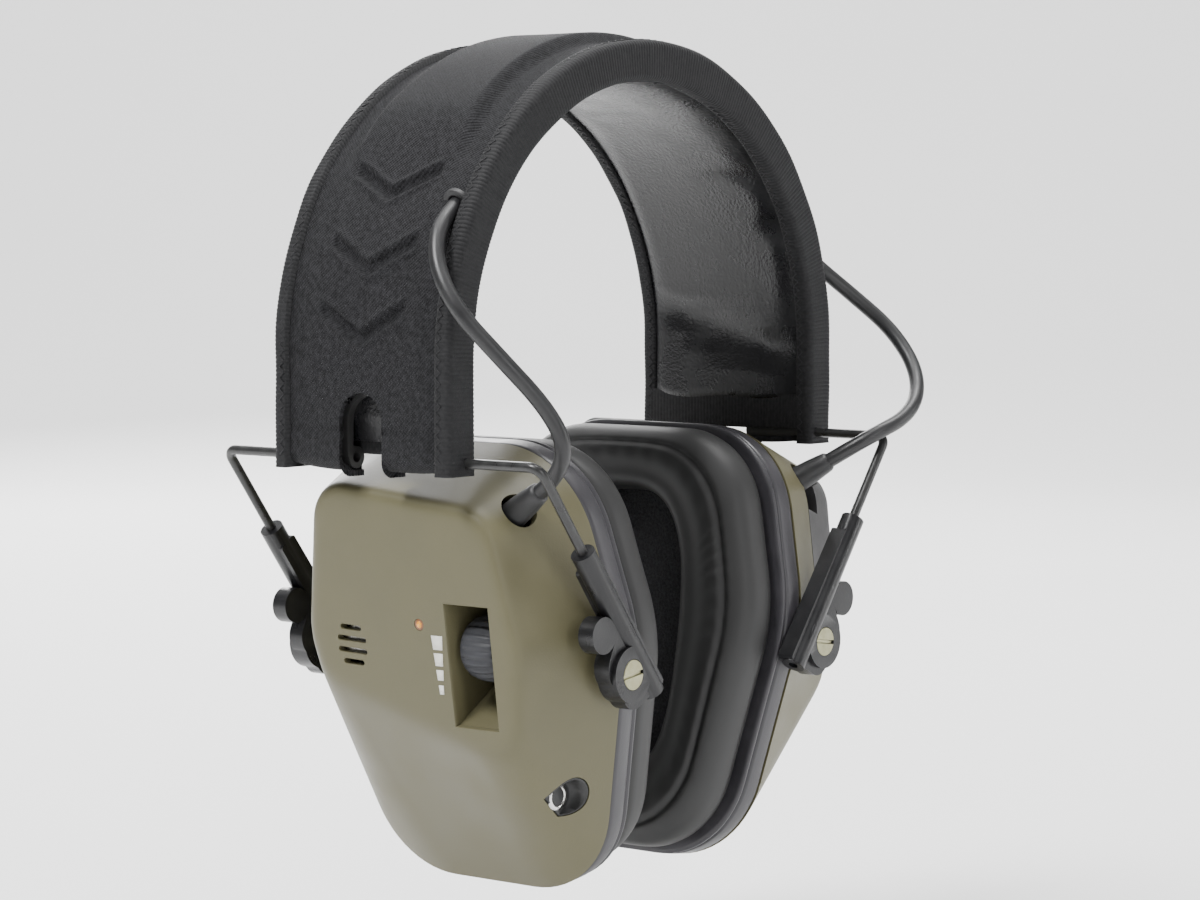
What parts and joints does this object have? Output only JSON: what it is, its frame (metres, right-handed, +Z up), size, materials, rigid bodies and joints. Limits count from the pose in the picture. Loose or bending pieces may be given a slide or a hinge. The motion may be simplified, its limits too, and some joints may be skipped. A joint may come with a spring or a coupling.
{
  "type": "electronic earmuff",
  "caption": "Folding ear protector: padded arched headband, wire yokes, faceted ear cups with soft cushions, a volume wheel, sound slots and a battery bay.",
  "frame": {"origin": "head seat: lowest point of the pad under the crown of the headband, in the middle plane", "axes": "+Z up, X from ear to ear with the left cup at -X, front faces -Y"},
  "size_m": [0.1577, 0.0977, 0.1896],
  "materials": {
    "woven_cover": "heathered weave, near black",
    "binding": "ribbed woven tape, near black",
    "pad_leatherette": "soft wrinkled leatherette, near black",
    "foam": "open-cell foam, dark grey",
    "spring_steel": "spring steel, satin",
    "wire_steel": "steel wire, black coating",
    "arm_black": "moulded nylon, satin black",
    "fitting_black": "moulded nylon, matt black",
    "screw_brass": "plated, satin",
    "screw_steel": "zinc plated",
    "shell_olive": "fine moulded texture, olive drab",
    "door_grey": "fine moulded texture, dark grey",
    "ring_grey": "satin dark grey",
    "cushion_vinyl": "glossy soft vinyl, black",
    "baffle_plastic": "matt black",
    "speaker_metal": "black basket with a magnet",
    "board_green": "solder mask",
    "microphone_metal": "drawn can",
    "rubber_black": "moulded, matt",
    "lead_jacket": "smooth flexible jacket, black",
    "lamp_amber": "translucent amber lens",
    "jack_metal": "nickel plated sleeve",
    "shaft_plastic": "matt black",
    "cell_wrap": "plain cell wrap",
    "contact_metal": "nickel plated spring plate"
  },
  "bodies": {
    "headband": {"band_cover": "woven_cover", "band_pad": "pad_leatherette", "foam_sheet": "foam", "spring_strip": "spring_steel", "front_binding": "binding", "rear_binding": "binding", "left_end_fitting": "fitting_black", "right_end_fitting": "fitting_black", "left_grommet": "rubber_black", "right_grommet": "rubber_black", "band_lead": "lead_jacket", "left_lead": "lead_jacket", "right_lead": "lead_jacket"},
    "left_wires": {"left_front_wire": "wire_steel", "left_rear_wire": "wire_steel"},
    "left_yoke": {"left_front_arm": "arm_black", "left_rear_arm": "arm_black"},
    "left_cup": {"left_shell": "shell_olive", "left_ring": "ring_grey", "left_cushion": "cushion_vinyl", "left_foam_liner": "foam", "left_baffle": "baffle_plastic", "left_speaker": "speaker_metal", "left_circuit_board": "board_green", "left_microphone": "microphone_metal", "left_housing_screws": "screw_steel", "left_pivot_screws": "screw_brass", "left_lead_boot": "rubber_black", "volume_shaft": "shaft_plastic", "power_lamp": "lamp_amber", "audio_jack": "jack_metal"},
    "right_wires": {"right_front_wire": "wire_steel", "right_rear_wire": "wire_steel"},
    "right_yoke": {"right_front_arm": "arm_black", "right_rear_arm": "arm_black"},
    "right_cup": {"right_shell": "shell_olive", "right_ring": "ring_grey", "right_cushion": "cushion_vinyl", "right_foam_liner": "foam", "right_baffle": "baffle_plastic", "right_speaker": "speaker_metal", "right_circuit_board": "board_green", "right_microphone": "microphone_metal", "right_housing_screws": "screw_steel", "right_pivot_screws": "screw_brass", "right_lead_boot": "rubber_black", "battery_cells": "cell_wrap", "battery_contacts": "contact_metal"},
    "volume_wheel": {"volume_wheel": "rubber_black"},
    "battery_door": {"battery_door": "door_grey"}
  },
  "joints": [
    {"name": "left_fold", "type": "hinge", "parent": "headband", "child": "left_wires", "pos_m": [-0.0645, 0, -0.0827], "axis": [0, 1, 0], "range_deg": [-2, 40], "deforming": ["left_lead"]},
    {"name": "left_slide", "type": "slide", "parent": "left_wires", "child": "left_yoke", "axis": [0.6, 0, -0.8], "range_m": [-0.002, 0.012], "deforming": ["left_lead"]},
    {"name": "left_tilt", "type": "hinge", "parent": "left_yoke", "child": "left_cup", "pos_m": [-0.036, 0, -0.1287], "axis": [0, -1, 0], "range_deg": [-15, 8], "deforming": ["left_lead"]},
    {"name": "right_fold", "type": "hinge", "parent": "headband", "child": "right_wires", "pos_m": [0.0645, 0, -0.0827], "axis": [0, -1, 0], "range_deg": [-2, 40], "deforming": ["right_lead"]},
    {"name": "right_slide", "type": "slide", "parent": "right_wires", "child": "right_yoke", "axis": [-0.6, 0, -0.8], "range_m": [-0.002, 0.012], "deforming": ["right_lead"]},
    {"name": "right_tilt", "type": "hinge", "parent": "right_yoke", "child": "right_cup", "pos_m": [0.036, 0, -0.1287], "axis": [0, 1, 0], "range_deg": [-15, 8], "deforming": ["right_lead"]},
    {"name": "volume", "type": "hinge", "parent": "left_cup", "child": "volume_wheel", "pos_m": [-0.05169, -0.022, -0.12343], "axis": [0, 1, 0], "range_deg": [-135, 135]},
    {"name": "battery_door_hinge", "type": "hinge", "parent": "right_cup", "child": "battery_door", "pos_m": [0.05798, 0, -0.13755], "axis": [0, 1, 0], "range_deg": [0, 95]}
  ]
}
